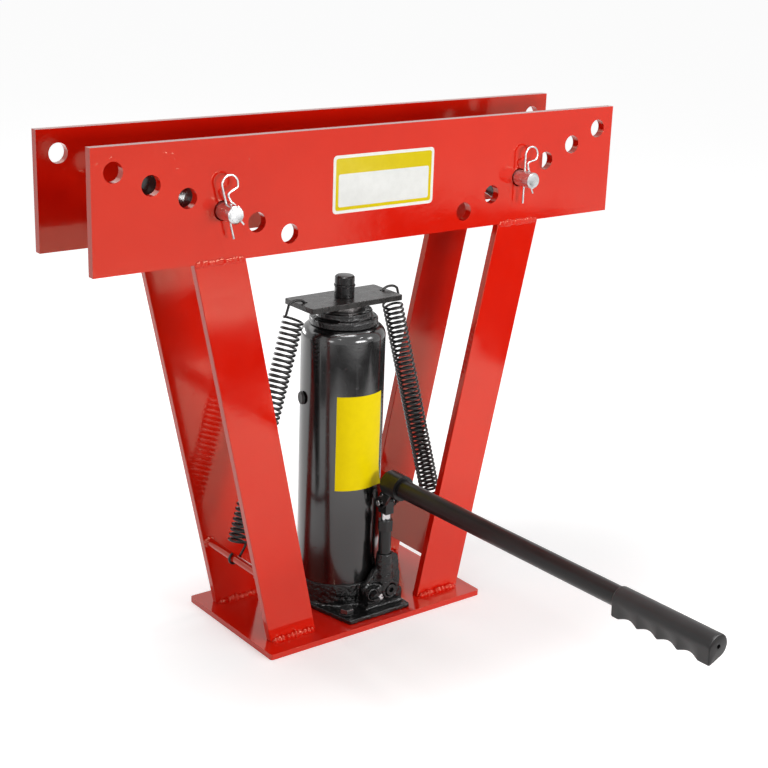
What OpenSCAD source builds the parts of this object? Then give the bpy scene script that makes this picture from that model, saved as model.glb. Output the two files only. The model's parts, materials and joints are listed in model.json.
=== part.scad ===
// Hydraulic pipe bender: a welded stand that carries two rollers on pins
// between its side plates, and a bottle jack that pushes a former up between them.
// Millimetres, +Z up, +X along the side plates, -Y towards the pump handle.

/* [Side plates] */
// Length of each side plate
plate_len = 600; // [560:5:660]
// Height of each side plate
plate_h = 110; // [104:1:130]
// Thickness of each side plate
plate_t = 8; // [6:1:10]
// Width over both side plates
plates_w = 110; // [100:1:130]
// Height of the top edges above the floor
top_z = 508; // [490:1:560]

/* [Pin holes] */
// Diameter of the pin holes
hole_d = 18.4; // [17:0.2:20]
// Number of pin holes at each end
hole_count = 6; // [4:1:6]
// Distance of the outermost hole from the plate's end
hole_end = 20.7; // [16:0.1:26]
// Distance of the outermost hole from the top edge
hole_top = 21.8; // [16:0.1:24]
// Spacing of the holes along the plate
hole_step_x = 35.3; // [34:0.1:38]
// Drop from each hole to the next one inward
hole_step_z = 14.1; // [11:0.1:14.4]
// Hole that holds the roller pin, counted from the end
pin_hole = 4; // [3:1:4]

/* [Legs and base] */
// Width of each leg's flat bar
leg_w = 52; // [44:1:60]
// Thickness of each leg's flat bar
leg_t = 8; // [6:1:10]
// Distance from the middle to each leg's centre at the base plate
leg_foot_x = 91.5; // [86:0.5:104]
// Distance from the middle to each leg's centre under the side plates
leg_head_x = 176; // [160:1:190]
// Thickness of the base plate
base_t = 6; // [5:0.5:10]
// Reach of the base plate beyond the legs along X
base_end = 14; // [8:1:24]
// Reach of the base plate beyond the side plates along Y
base_side = 22.5; // [18:0.5:32]
// Corner radius of the base plate
base_r = 3; // [1:0.5:8]
// Leg length of the fillet welds at the feet
foot_weld = 6; // [4:0.5:8]
// Height of the flat weld beads across the leg heads
head_weld_h = 1.2; // [0.8:0.1:2]
// Width of the flat weld beads across the leg heads
head_weld_w = 9; // [6:0.5:12]

/* [Cross plate and rods] */
// Thickness of the cross plate between the right legs
cross_t = 5; // [4:0.5:8]
// Height of the cross plate
cross_h = 62; // [40:1:70]
// Height of the cross plate's lower edge above the base plate
cross_z = 37; // [30:1:60]
// Distance of the cross plate inward from the legs' centre line
cross_in = 9; // [8:0.5:14]
// Diameter of the two spring rods
rod_d = 8; // [6:0.5:10]
// Height of the spring rods above the base plate
rod_up = 72; // [60:1:90]
// Distance of the spring rods from the legs' outer edge
rod_edge = 7; // [6:0.5:10]

/* [Rollers and pins] */
// Outer diameter of the rollers
roller_d = 56; // [46:1:56]
// Diameter of the rollers at the waist
roller_waist_d = 46; // [36:1:46]
// Length of each roller's cylindrical ends
roller_land = 12; // [8:1:16]
// Gap between a roller and each side plate
roller_gap = 1.5; // [0.5:0.25:3]
// Diameter of the roller pins
pin_d = 16; // [14:0.5:16.5]
// Length of a roller pin in front of the front side plate
pin_proud = 23; // [20:0.5:30]
// Diameter of the roller pins' heads
pin_head_d = 25; // [22:0.5:28]
// Thickness of the roller pins' heads
pin_head_t = 5; // [3:0.5:8]
// Chamfer on the free end of the roller pins
pin_chamfer = 1.5; // [0.5:0.25:2.5]
// Wire diameter of the hairpin clips
clip_wire_d = 2; // [1.5:0.1:2.5]
// Distance of the hairpin clips from the front side plate
clip_out = 8; // [7:0.5:14]
// Radius of the clips' loops
clip_loop_r = 8; // [7:0.5:10]
// Height of the clips' loop centres above the pins
clip_loop_up = 23.5; // [22:0.5:30]
// Length of the clips' straight legs below the pin axis
clip_leg_down = 25; // [18:0.5:25.5]
// Tilt of the left clip
left_clip_tilt = -14; // [-20:1:20]
// Tilt of the right clip
right_clip_tilt = 0; // [-20:1:20]

/* [Jack body] */
// Outer diameter of the oil tank
tank_d = 85; // [80:1:92]
// Wall of the oil tank
tank_wall = 3; // [2:0.25:4]
// Height of the oil tank
tank_h = 269; // [250:1:290]
// Radius of the tank's rounded shoulder
tank_round = 8; // [5:0.5:9]
// Height of the cast base under the tank
casting_h = 28; // [26:1:36]
// Thickness of the cast base's flange
flange_t = 5; // [4:0.5:8]
// Width of the cast base's flange at its front edge
flange_w = 76; // [72:1:84]
// Reach of the flange behind the tank
flange_back = 15; // [13:0.5:18]
// Height of the tank cap
cap_h = 8; // [6:0.5:14]
// Diameter of the cap's neck
neck_d = 57; // [48:0.5:62]
// Height of the cap's neck
neck_h = 6; // [4:0.5:9]
// Depth of the cap's spigot in the tank
spigot_h = 10; // [8:0.5:14]
// Outer diameter of the working cylinder
cylinder_d = 54; // [50:0.5:58]
// Bore of the working cylinder
cylinder_bore = 42; // [40:0.5:44]
// Diameter of the ram
ram_d = 36; // [30:0.5:38]
// Travel of the ram
stroke = 215; // [150:5:230]
// Height of the ram above the neck when it is down
ram_up = 6.5; // [2:0.5:10]
// Height of the filler plug on the tank
filler_up = 195; // [150:1:220]
// Direction of the filler plug around the tank
filler_angle = 169; // [150:1:200]
// Diameter of the filler plug
filler_d = 9; // [7:0.5:12]
// Size of the bolts that hold the cast base down
bolt_d = 8; // [6:1:10]

/* [Ram head] */
// Length of the spring plate
spring_plate_len = 110; // [104:1:124]
// Width of the spring plate
spring_plate_w = 49; // [44:1:60]
// Thickness of the spring plate
spring_plate_t = 5.5; // [4:0.5:7]
// Diameter of the nose pin that carries a former
nose_d = 20; // [18:0.5:24]
// Length of the nose pin above the spring plate
nose_len = 22; // [20:0.5:36]
// Diameter of the nose pin's threaded root
nose_root_d = 16; // [12:0.5:18]
// Depth of the nose pin's root in the ram
nose_root = 20; // [14:1:30]

/* [Return springs] */
// Outer diameter of the return springs
spring_d = 22; // [18:0.5:24]
// Wire diameter of the return springs
spring_wire_d = 2.6; // [2:0.1:2.8]
// Number of whole turns in each return spring
spring_turns = 43; // [30:1:43]
// Distance of the hook holes from the spring plate's ends
hook_inset = 8; // [6.5:0.5:10]

/* [Pump] */
// Distance of the pump to the right of the jack's axis
pump_x = 22.5; // [22:0.5:26]
// Distance of the pump in front of the tank
pump_gap = 8.5; // [8:0.5:12]
// Lever arm from the fulcrum to the plunger
lever = 12; // [11:0.5:12.5]
// Diameter of the pump tube
pump_tube_d = 13; // [12:0.5:14]
// Diameter of the cast pillar's top around the pump tube
pillar_d = 16.5; // [16:0.5:18]
// Height of the cast pillar above the flange
pillar_h = 56; // [50:1:60]
// Widening of the cast pillar's radius from its top to the pump block
pillar_flare = 1.5; // [0.5:0.5:2.5]
// Height of the pump tube above the pillar
pump_tube_up = 25; // [20:1:30]
// Width of the gland nut across flats
gland_w = 14; // [13:0.5:17]
// Height of the gland nut
gland_h = 11.5; // [8:0.5:13]
// Diameter of the pump plunger
plunger_d = 10; // [8:0.5:10.5]
// Width of the cast pump block
block_w = 44; // [42:1:48]
// Height of the cast pump block above the flange
block_h = 22; // [20:0.5:26]
// Diameter of the round boss around the check plug
boss_d = 21; // [18:0.5:22]
// Diameter of the round boss around the release valve
valve_boss_d = 14; // [13:0.5:16]
// Diameter of the lever pins
lever_pin_d = 6; // [5:0.5:7]
// Diameter of the release valve
valve_d = 9; // [8:0.5:10]
// Length of the release valve in front of the block
valve_out = 8; // [6:0.5:12]

/* [Handle] */
// Height of the handle's axis above the base plate, at the fulcrum
handle_up = 139.5; // [138:0.5:148]
// Rise of the handle towards its grip, in degrees
handle_tilt = 0.9; // [0:0.1:2]
// Drop from the handle's axis to the lever pins
pivot_drop = 22; // [21.5:0.5:25]
// Outer diameter of the handle tube
tube_d = 19; // [18:0.5:21]
// Wall of the handle tube
tube_wall = 2; // [1.5:0.25:3]
// Length of the handle tube
tube_len = 414; // [300:1:520]
// Wall of the socket around the handle tube
socket_wall = 3.4; // [2:0.1:3.6]
// Length of the socket's sleeve
socket_len = 22; // [21:1:40]
// Width of the grip
grip_w = 24; // [23:0.5:30]
// Height of the grip above the handle's axis
grip_top = 12.5; // [11.5:0.5:16]
// Depth of the grip below the handle's axis
grip_keel = 16; // [14:0.5:20]
// Corner radius of the grip's section
grip_round = 9; // [6:0.5:10]
// Length of the grip
grip_len = 110; // [100:1:130]
// Number of finger hollows in the grip
grip_hollows = 4; // [3:1:5]

/* [Clearances] */
// Radial clearance of running and push fits
fit = 0.05; // [0.02:0.01:0.1]
// Gap kept between pieces that pass each other
pass = 0.3; // [0.2:0.05:0.5]

/* [Hidden] */
$fn = 64;

red = "#c4211c";
black = "#1b1b1c";
cast_black = "#232324";
steel = "#c9ccd0";
rubber = "#26262a";
spring_black = "#2a2a2c";

over = 1;
half_w = plates_w / 2;
inner_y = half_w - plate_t;
plate_z = top_z - plate_h;

// Legs: flat bars that lean outward from the base plate to the side plates
leg_rise = plate_z - base_t;
leg_slope = (leg_head_x - leg_foot_x) / leg_rise;
leg_half = leg_w / 2 * sqrt(1 + leg_slope * leg_slope);
leg_inner_y = half_w - leg_t;
function leg_x(z) = leg_foot_x + leg_slope * (z - base_t);
base_half_x = leg_foot_x + leg_half + base_end;
base_half_y = half_w + base_side;

// Pin holes
function hole_x(i) = plate_len / 2 - hole_end - i * hole_step_x;
function hole_z(i) = top_z - hole_top - i * hole_step_z;
pin_x = hole_x(pin_hole - 1);
pin_z = hole_z(pin_hole - 1);
pin_r = pin_d / 2;
clip_y = -half_w - clip_out;
clip_r = clip_wire_d / 2;

// Spring rods
rod_z = base_t + rod_up;
rod_x = leg_x(rod_z) + leg_half - rod_edge;

// Heights of the jack
flange_z = base_t + flange_t;
tank_z = base_t + casting_h;
gasket_t = 1;
tank_top = tank_z + gasket_t + tank_h;
neck_z = tank_top + cap_h;
ram_top = neck_z + neck_h + ram_up;
plate_top = ram_top + spring_plate_t;
nose_top = plate_top + nose_len;
tank_r = tank_d / 2;
cap_r = tank_r - tank_round;
spigot_r = cylinder_d / 2 + 2;
spigot_z = tank_top - spigot_h;
cylinder_z = tank_z - 10;
piston_z = cylinder_z + 3;
piston_h = spigot_z - over - stroke - piston_z;
seal_z = piston_z + 5;
seal_h = 6;
seal_depth = 2.6;
wiper_h = 3;
wiper_w = 3;
nose_groove_w = 2;
nose_groove_up = 11;
nose_clip_out = 0.8;
nose_groove_deep = 1.5;

// Pump and lever, set out from the tank towards the front
pump_y = -tank_r - pump_gap;
fulcrum_y = pump_y + lever;
handle_z = base_t + handle_up;
pivot_z = handle_z - pivot_drop;
pillar_r = pillar_d / 2;
pillar_z = flange_z + pillar_h;
pump_tube_z = pillar_z + pump_tube_up;
gland_z = pump_tube_z + gland_h;
block_z = flange_z + block_h;
block_x = pump_x - 2.5;
block_y = pump_y - 7;
block_bevel = 6;
flange_x = pump_x - 16.5;
flange_front = -pump_y + 18;
flange_rear = tank_r + flange_back;
flange_half = tank_r + 1.5;
pump_floor = block_z + 4;
lever_pin_r = lever_pin_d / 2;
eye_r = lever_pin_r + 2.2;
head_w = 10;
link_t = 5;
link_deep = 7;
link_foot_z = block_z + 14;
ear_t = 4;
ear_r = eye_r + 0.4;
cheek_t = 3.5;
cheek_in = head_w / 2 + pass;
cheek_out = cheek_in + cheek_t;
link_x = pump_x + cheek_out + pass;
head_r = lever_pin_r + 3.5;
head_drop = 12.5;
plunger_pin_z = pivot_z + lever * tan(handle_tilt);
plunger_foot = pump_floor + 12;
plunger_seal_h = 4;
slot_play = 0.6;
slot_out = 3.2;
slot_in = 0.8;
pin_end = 2.4;
lever_clip_t = 1;
lever_clip_d = lever_pin_d + 4;

// Valves in the front of the pump block
valve_x = pump_x - 19;
valve_z = flange_z + 15.5;
valve_in = 18;
valve_slot_w = 3;
valve_slot_deep = 4;
check_x = pump_x + 3.5;
check_z = flange_z + 16;
check_d = 9;
check_rim_d = 12.5;
check_rim_t = 4;
check_sink = 1;
check_key_w = 5;
check_in = 12;
safety_x = pump_x - 7.5;
safety_z = flange_z + 10.5;
safety_d = 6;
safety_in = 9;
boss_out = 2;
rib_w = 10;
web_drop = 16;
ball_d = 6;
ball_gap = 0.3;

// Handle
tube_r = tube_d / 2;
socket_r = tube_r + fit + socket_wall;
socket_back = lever + 5.2;
socket_back_y = fulcrum_y - socket_back;
socket_end_wall = 3;
tube_y = socket_back_y - socket_end_wall;
tube_end_y = tube_y - tube_len;
grip_cap = 18;
grip_y = tube_end_y - fit - grip_cap;
grip_hollow_r = 15;
grip_hollow_deep = 4.5;
hang_hole_d = 4;

// Jack bolts: one in front on the left, one behind on the right
bolt_head_w = 1.6 * bolt_d;
bolt_head_h = 0.65 * bolt_d;
washer_d = 2 * bolt_d;
washer_t = 1.6;
bolt_spots = [
    [flange_x - flange_w / 2 + 7, -flange_front + 2 * bolt_d],
    [flange_half - 2 * bolt_d, flange_rear - 1.5 * bolt_d]
];

// Return springs: hook circles, axis and turns of the left spring
coil_r = (spring_d - spring_wire_d) / 2;
wire_r = spring_wire_d / 2;
hook_x = -spring_plate_len / 2 + hook_inset;
hook_hole_r = wire_r + 1.2;
hook_strip = hook_inset - hook_hole_r;
hook_flat = 0.55;
hook_rest = (hook_flat * coil_r - wire_r) * sqrt(1 - pow((coil_r - hook_hole_r) / (coil_r - wire_r), 2));
hook_top = [hook_x - coil_r, 0, plate_top + pass - hook_rest];
rod_point = [-rod_x, 0, rod_z];
spring_up = (hook_top - rod_point) / norm(hook_top - rod_point);
hook_low = rod_point + spring_up * (coil_r - wire_r - rod_d / 2 - pass);
spring_in = [spring_up[2], 0, -spring_up[0]];
spring_len = norm(hook_top - hook_low);
riser_low = 12;
riser_top = 13;
bend_r = 3;
bend_deg = bend_r / coil_r * 180 / PI;
turn_rings = 8;
wire_sides = 6;
coil_rings = spring_turns * turn_rings;
low_hook_deg = 225;
hook_end = 2.5;

// Shared shapes

module box(low, high) {
    translate(low) cube(high - low);
}

module rod_along_x(p, d, len) {
    translate(p) rotate([0, 90, 0]) cylinder(d = d, h = len);
}

module rod_along_y(p, d, len) {
    translate(p) rotate([-90, 0, 0]) cylinder(d = d, h = len);
}

module rounded_rectangle(low, high, r) {
    size = high - low;
    translate(low + [r, 0]) square([size[0] - 2 * r, size[1]]);
    translate(low + [0, r]) square([size[0], size[1] - 2 * r]);
    for (x = [low[0] + r, high[0] - r], y = [low[1] + r, high[1] - r])
        translate([x, y]) circle(r);
}

module hex_prism(w, h) {
    cylinder(d = w / cos(30), h = h, $fn = 6);
}

// Profile in the plane of the lever, first axis forward (-Y) from the fulcrum and second up
module lever_plate(x, t) {
    translate([x + t, fulcrum_y, pivot_z]) rotate([90, 0, -90]) linear_extrude(t) children();
}

// Profile in the XZ plane, extruded from y0 to y1
module xz_plate(y0, y1) {
    translate([0, y1, 0]) rotate([90, 0, 0]) linear_extrude(y1 - y0) children();
}

// Round wire swept along a list of points as one closed tube of triangles

function unit(v) = v / norm(v);
function heading(p, i) = unit(p[min(i + 1, len(p) - 1)] - p[max(i - 1, 0)]);
function square_to(n, t) = unit(n - (n * t) * t);
function wire_normals(p, n0) = [
    for (i = 0, n = square_to(n0, heading(p, 0));
        i < len(p);
        i = i + 1, n = i < len(p) ? square_to(n, heading(p, i)) : n) n
];
function wire_points(p, r, sides, n0) = let (normals = wire_normals(p, n0)) [
    for (i = [0 : len(p) - 1], k = [0 : sides - 1])
        let (n = normals[i], b = cross(heading(p, i), n), a = 360 * k / sides)
            p[i] + r * (cos(a) * n + sin(a) * b)
];
function wire_faces(rings, sides) = [
    for (k = [1 : sides - 2]) [0, k, k + 1],
    for (i = [0 : rings - 2], k = [0 : sides - 1])
        let (a = i * sides + k, b = i * sides + (k + 1) % sides)
            each [[a, a + sides, b], [b, a + sides, b + sides]],
    for (k = [1 : sides - 2])
        let (e = (rings - 1) * sides) [e, e + k + 1, e + k]
];

module wire(p, r, sides, n0) {
    polyhedron(wire_points(p, r, sides, n0), wire_faces(len(p), sides));
}

// Least distance between two stretches of wire that are several points apart
apart = 6;
function wire_gap(p, d) = min([
    for (i = [0 : len(p) - apart - 1], j = [i + apart : len(p) - 1]) norm(p[i] - p[j])
]) - d;

// Base, legs, side plates

module base_plate() {
    color(red) difference() {
        linear_extrude(base_t)
            rounded_rectangle([-base_half_x, -base_half_y], [base_half_x, base_half_y], base_r);
        for (p = bolt_spots)
            translate([p[0], p[1], -over]) cylinder(d = bolt_d + 2 * fit, h = base_t + 2 * over);
    }
}

module leg(side, y0, y1) {
    foot = side * leg_x(base_t);
    head = side * leg_x(plate_z);
    color(red) xz_plate(y0, y1) polygon([
        [foot - leg_half, base_t], [foot + leg_half, base_t],
        [head + leg_half, plate_z], [head - leg_half, plate_z]
    ]);
}

module leg_front_left() { leg(-1, -half_w, -leg_inner_y); }
module leg_front_right() { leg(1, -half_w, -leg_inner_y); }
module leg_rear_left() { leg(-1, leg_inner_y, half_w); }
module leg_rear_right() { leg(1, leg_inner_y, half_w); }

module side_plate(y0) {
    color(red) difference() {
        box([-plate_len / 2, y0, plate_z], [plate_len / 2, y0 + plate_t, top_z]);
        for (side = [-1, 1], i = [0 : hole_count - 1])
            rod_along_y([side * hole_x(i), y0 - over, hole_z(i)], hole_d, plate_t + 2 * over);
    }
}

module front_plate() { side_plate(-half_w); }
module rear_plate() { side_plate(inner_y); }

module cross_plate() {
    low = base_t + cross_z;
    high = low + cross_h;
    low_x = leg_x(low) - cross_in;
    high_x = leg_x(high) - cross_in;
    color(red) xz_plate(-leg_inner_y, leg_inner_y) polygon([
        [low_x - cross_t, low], [low_x, low], [high_x, high], [high_x - cross_t, high]
    ]);
}

module spring_rod(side) {
    color(red) rod_along_y([side * rod_x, -leg_inner_y, rod_z], rod_d, 2 * leg_inner_y);
}

module left_rod() { spring_rod(-1); }
module right_rod() { spring_rod(1); }

// Fillet welds along the front and back of each foot
module foot_welds() {
    color(red) for (side = [-1, 1], y = [-half_w, -leg_inner_y, leg_inner_y, half_w]) {
        out = (y == -half_w || y == leg_inner_y) ? -1 : 1;
        translate([side * leg_foot_x - leg_half, y, base_t]) rotate([90, 0, 90])
            linear_extrude(2 * leg_half) polygon([[0, 0], [out * foot_weld, 0], [0, foot_weld]]);
    }
}

// Flat beads across the joint between each leg's head and its side plate
module head_welds() {
    bead_r = (head_weld_w * head_weld_w / 4 + head_weld_h * head_weld_h) / (2 * head_weld_h);
    color(red) for (side = [-1, 1], out = [-1, 1])
        translate([side * leg_head_x - leg_half, out * half_w, plate_z]) rotate([90, 0, 90])
            linear_extrude(2 * leg_half) intersection() {
                translate([-out * (bead_r - head_weld_h), 0]) circle(bead_r);
                translate([out > 0 ? 0 : -head_weld_w, -head_weld_w]) square([head_weld_w, 2 * head_weld_w]);
            }
}

// Cast base of the jack, with its pump block and pillar

module jack_base() {
    color(cast_black) difference() {
        union() {
            translate([0, 0, base_t]) linear_extrude(flange_t) polygon([
                [flange_x - flange_w / 2, -flange_front], [flange_x + flange_w / 2, -flange_front],
                [flange_half + 2, -flange_half / 4], [flange_half, flange_rear],
                [-flange_half, flange_rear], [-flange_half, -flange_half / 4]
            ]);
            translate([0, 0, base_t]) cylinder(r = tank_r - 0.5, h = casting_h);
            box([block_x - block_w / 2, -tank_r - boss_out, base_t], [block_x + block_w / 2, 0, tank_z]);
            xz_plate(block_y, -tank_r - boss_out) polygon([
                [block_x - block_w / 2, base_t], [block_x + block_w / 2, base_t],
                [block_x + block_w / 2, block_z - 1.5 * block_bevel],
                [block_x + block_w / 2 - block_bevel, block_z],
                [block_x - block_w / 2 + block_bevel, block_z],
                [block_x - block_w / 2, block_z - block_bevel]
            ]);
            for (p = [[valve_x, valve_z, valve_boss_d], [check_x, check_z, boss_d]])
                rod_along_y([p[0], block_y - boss_out, p[1]], p[2], -tank_r - boss_out - block_y);
            translate([pump_x, pump_y, block_z - over])
                cylinder(r1 = pillar_r + pillar_flare, r2 = pillar_r, h = pillar_z - block_z + over);
            xz_plate(pump_y - rib_w / 2, pump_y + rib_w / 2) polygon([
                [pump_x, flange_z], [block_x + block_w / 2 - 1, flange_z],
                [block_x + block_w / 2 - 2, block_z + 8], [pump_x + pillar_r + 6, pillar_z - 4],
                [pump_x + pillar_r, pillar_z], [pump_x, pillar_z]
            ]);
            xz_plate(pump_y, -tank_r - boss_out) polygon([
                [pump_x, flange_z], [block_x - block_w / 2, flange_z], [block_x - block_w / 2, block_z - over],
                [pump_x - pillar_r, pillar_z - web_drop], [pump_x, pillar_z - web_drop]
            ]);
            for (x = [link_x - pass - ear_t, link_x + link_t + pass]) {
                box([x, fulcrum_y - ear_r, base_t], [x + ear_t, fulcrum_y + ear_r, link_foot_z]);
                rod_along_x([x, fulcrum_y, link_foot_z], 2 * ear_r, ear_t);
            }
        }
        translate([0, 0, cylinder_z]) cylinder(d = cylinder_d + 2 * fit, h = casting_h);
        translate([pump_x, pump_y, pump_floor]) cylinder(d = pump_tube_d + 2 * fit, h = pillar_h);
        translate([pump_x, pump_y, pump_floor - ball_d - ball_gap])
            cylinder(d = ball_d + 2 * ball_gap, h = ball_d + over);
        rod_along_x([link_x - ear_t - 2 * over, fulcrum_y, link_foot_z],
            lever_pin_d + 2 * fit, link_t + 2 * ear_t + 4 * over);
        rod_along_y([valve_x, block_y - 2 * boss_out, valve_z], valve_d + 2 * fit, valve_in + 2 * boss_out);
        rod_along_y([valve_x, block_y, valve_z], ball_d + 2 * ball_gap, valve_in + ball_d + ball_gap);
        rod_along_y([check_x, block_y - 2 * boss_out, check_z], check_d + 2 * fit, check_in + 2 * boss_out);
        rod_along_y([check_x, block_y - 2 * boss_out, check_z], check_rim_d + 2 * pass, 2 * boss_out + check_sink);
        rod_along_y([check_x, block_y, check_z], ball_d + 2 * ball_gap, check_in + ball_d + ball_gap);
        rod_along_y([safety_x, block_y - over, safety_z], safety_d + 2 * fit, safety_in + over);
        for (p = bolt_spots)
            translate([p[0], p[1], 0]) cylinder(d = bolt_d + 2 * pass, h = flange_z + over);
    }
}

module jack_bolts() {
    color(cast_black) for (p = bolt_spots) translate([p[0], p[1], 0]) {
        translate([0, 0, over / 2]) cylinder(d = bolt_d, h = flange_z + washer_t);
        translate([0, 0, flange_z + washer_t]) hex_prism(bolt_head_w, bolt_head_h);
    }
}

module jack_washers() {
    color(cast_black) for (p = bolt_spots) translate([p[0], p[1], flange_z]) difference() {
        cylinder(d = washer_d, h = washer_t);
        translate([0, 0, -over]) cylinder(d = bolt_d + 2 * pass, h = washer_t + 2 * over);
    }
}

module check_plug() {
    front = block_y + check_sink - check_rim_t;
    color(cast_black) difference() {
        union() {
            rod_along_y([check_x, front, check_z], check_d, check_in - check_sink + check_rim_t);
            rod_along_y([check_x, front, check_z], check_rim_d, check_rim_t);
        }
        translate([check_x, front - over, check_z]) rotate([-90, 0, 0]) hex_prism(check_key_w, check_rim_t + over);
    }
}

module safety_screw() {
    front = block_y - over / 2;
    color(steel) difference() {
        rod_along_y([safety_x, front, safety_z], safety_d, safety_in + over / 2);
        box([safety_x - safety_d, front - over, safety_z - 0.6], [safety_x + safety_d, front + over, safety_z + 0.6]);
    }
}

// Balls of the suction, delivery and release valves
module valve_balls() {
    color(steel) {
        translate([pump_x, pump_y, pump_floor - ball_d / 2 - ball_gap / 2]) sphere(d = ball_d);
        translate([check_x, block_y + check_in + ball_d / 2 + ball_gap / 2, check_z]) sphere(d = ball_d);
        translate([valve_x, block_y + valve_in + ball_d / 2 + ball_gap / 2, valve_z]) sphere(d = ball_d);
    }
}

module release_valve() {
    front = block_y - valve_out;
    color(cast_black) difference() {
        rod_along_y([valve_x, front, valve_z], valve_d, valve_out + valve_in);
        box([valve_x - valve_d, front - over, valve_z - valve_slot_w / 2],
            [valve_x + valve_d, front + valve_slot_deep, valve_z + valve_slot_w / 2]);
    }
}

// Oil tank, working cylinder and cap

module tank() {
    wall_top = tank_h - tank_round;
    color(black) difference() {
        translate([0, 0, tank_z + gasket_t]) rotate_extrude() difference() {
            union() {
                square([tank_r, wall_top]);
                square([tank_r - tank_round, tank_h]);
                translate([tank_r - tank_round, wall_top]) circle(tank_round);
            }
            translate([-tank_r, -over]) square([tank_r, tank_h + 2 * over]);
            translate([0, -over]) square([tank_r - tank_wall, tank_h - tank_round - tank_wall + over]);
            square([spigot_r + pass, tank_h + over]);
        }
        filler_place() cylinder(d = filler_d + 2 * fit, h = 4 * tank_wall, center = true);
    }
}

module filler_place() {
    translate([0, 0, tank_z + filler_up]) rotate([0, 90, filler_angle])
        translate([0, 0, tank_r - tank_wall / 2]) children();
}

module filler_plug() {
    cap = 2.5;
    color(rubber) filler_place() {
        translate([0, 0, -tank_wall]) cylinder(d = filler_d, h = tank_wall * 1.5 + 1.2);
        translate([0, 0, tank_wall / 2 + 0.8]) cylinder(d1 = filler_d + 5, d2 = filler_d + 3, h = cap);
    }
}

module tank_gasket() {
    color(rubber) translate([0, 0, tank_z]) difference() {
        cylinder(r = tank_r - 0.5, h = gasket_t);
        translate([0, 0, -over]) cylinder(r = tank_r - tank_wall - over, h = gasket_t + 2 * over);
    }
}

module working_cylinder() {
    color(steel) translate([0, 0, cylinder_z]) difference() {
        cylinder(d = cylinder_d, h = spigot_z - cylinder_z);
        translate([0, 0, -over]) cylinder(d = cylinder_bore, h = spigot_z - cylinder_z + 2 * over);
    }
}

module tank_cap() {
    bevel = 2;
    color(cast_black) difference() {
        union() {
            translate([0, 0, spigot_z]) cylinder(r = spigot_r, h = spigot_h);
            translate([0, 0, tank_top]) cylinder(r = cap_r, h = cap_h - bevel);
            translate([0, 0, neck_z - bevel]) cylinder(r1 = cap_r, r2 = cap_r - bevel, h = bevel);
            translate([0, 0, neck_z]) cylinder(d = neck_d, h = neck_h);
        }
        translate([0, 0, spigot_z - over]) cylinder(d = ram_d + 2 * fit, h = ram_top);
        translate([0, 0, neck_z + neck_h - wiper_h])
            cylinder(d = ram_d + 2 * wiper_w, h = wiper_h + over);
    }
}

module ram_wiper() {
    color(rubber) translate([0, 0, neck_z + neck_h - wiper_h]) difference() {
        cylinder(d = ram_d + 2 * wiper_w - 2 * fit, h = wiper_h);
        translate([0, 0, -over]) cylinder(d = ram_d + 2 * fit, h = wiper_h + 2 * over);
    }
}

// Ram, its seal, the nose pin and the spring plate

module ram() {
    color(steel) difference() {
        union() {
            translate([0, 0, piston_z]) cylinder(d = ram_d, h = ram_top - piston_z);
            translate([0, 0, piston_z]) cylinder(d = cylinder_bore - 2 * fit, h = piston_h);
        }
        translate([0, 0, seal_z]) difference() {
            cylinder(d = cylinder_bore + 2 * over, h = seal_h);
            cylinder(d = cylinder_bore - 2 * seal_depth, h = seal_h);
        }
        translate([0, 0, ram_top - nose_root]) cylinder(d = nose_root_d + 2 * fit, h = nose_root + over);
    }
}

module ram_seal() {
    color(rubber) translate([0, 0, seal_z]) difference() {
        cylinder(d = cylinder_bore - 2 * fit, h = seal_h);
        translate([0, 0, -over]) cylinder(d = cylinder_bore - 2 * seal_depth + 2 * fit, h = seal_h + 2 * over);
    }
}

module nose_pin() {
    bevel = 1.5;
    groove_z = plate_top + nose_groove_up;
    color(cast_black) difference() {
        union() {
            translate([0, 0, ram_top - nose_root]) cylinder(d = nose_root_d, h = nose_root + spring_plate_t + over);
            translate([0, 0, plate_top]) cylinder(d = nose_d, h = nose_len - bevel);
            translate([0, 0, nose_top - bevel]) cylinder(d1 = nose_d, d2 = nose_d - 2 * bevel, h = bevel);
        }
        translate([0, 0, groove_z]) difference() {
            cylinder(d = nose_d + 2 * over, h = nose_groove_w);
            cylinder(d = nose_d - 2 * nose_groove_deep, h = nose_groove_w);
        }
    }
}

// Round snap ring in the nose pin's groove
module nose_clip() {
    color(cast_black) translate([0, 0, plate_top + nose_groove_up + fit]) difference() {
        cylinder(r = nose_d / 2 + nose_clip_out, h = nose_groove_w - 2 * fit);
        translate([0, 0, -over])
            cylinder(r = nose_d / 2 - nose_groove_deep + fit, h = nose_groove_w + 2 * over);
    }
}

module spring_plate() {
    half = [spring_plate_len / 2, spring_plate_w / 2];
    color(black) difference() {
        translate([0, 0, ram_top]) linear_extrude(spring_plate_t) rounded_rectangle(-half, half, 2.5);
        translate([0, 0, ram_top - over]) cylinder(d = nose_root_d + 2 * fit, h = spring_plate_t + 2 * over);
        for (x = [hook_x, -hook_x])
            translate([x, 0, ram_top - over]) cylinder(r = hook_hole_r, h = spring_plate_t + 2 * over);
    }
}

// Return springs: a hook loop round the rod, the turns, and a hook over the spring plate's edge

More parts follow.
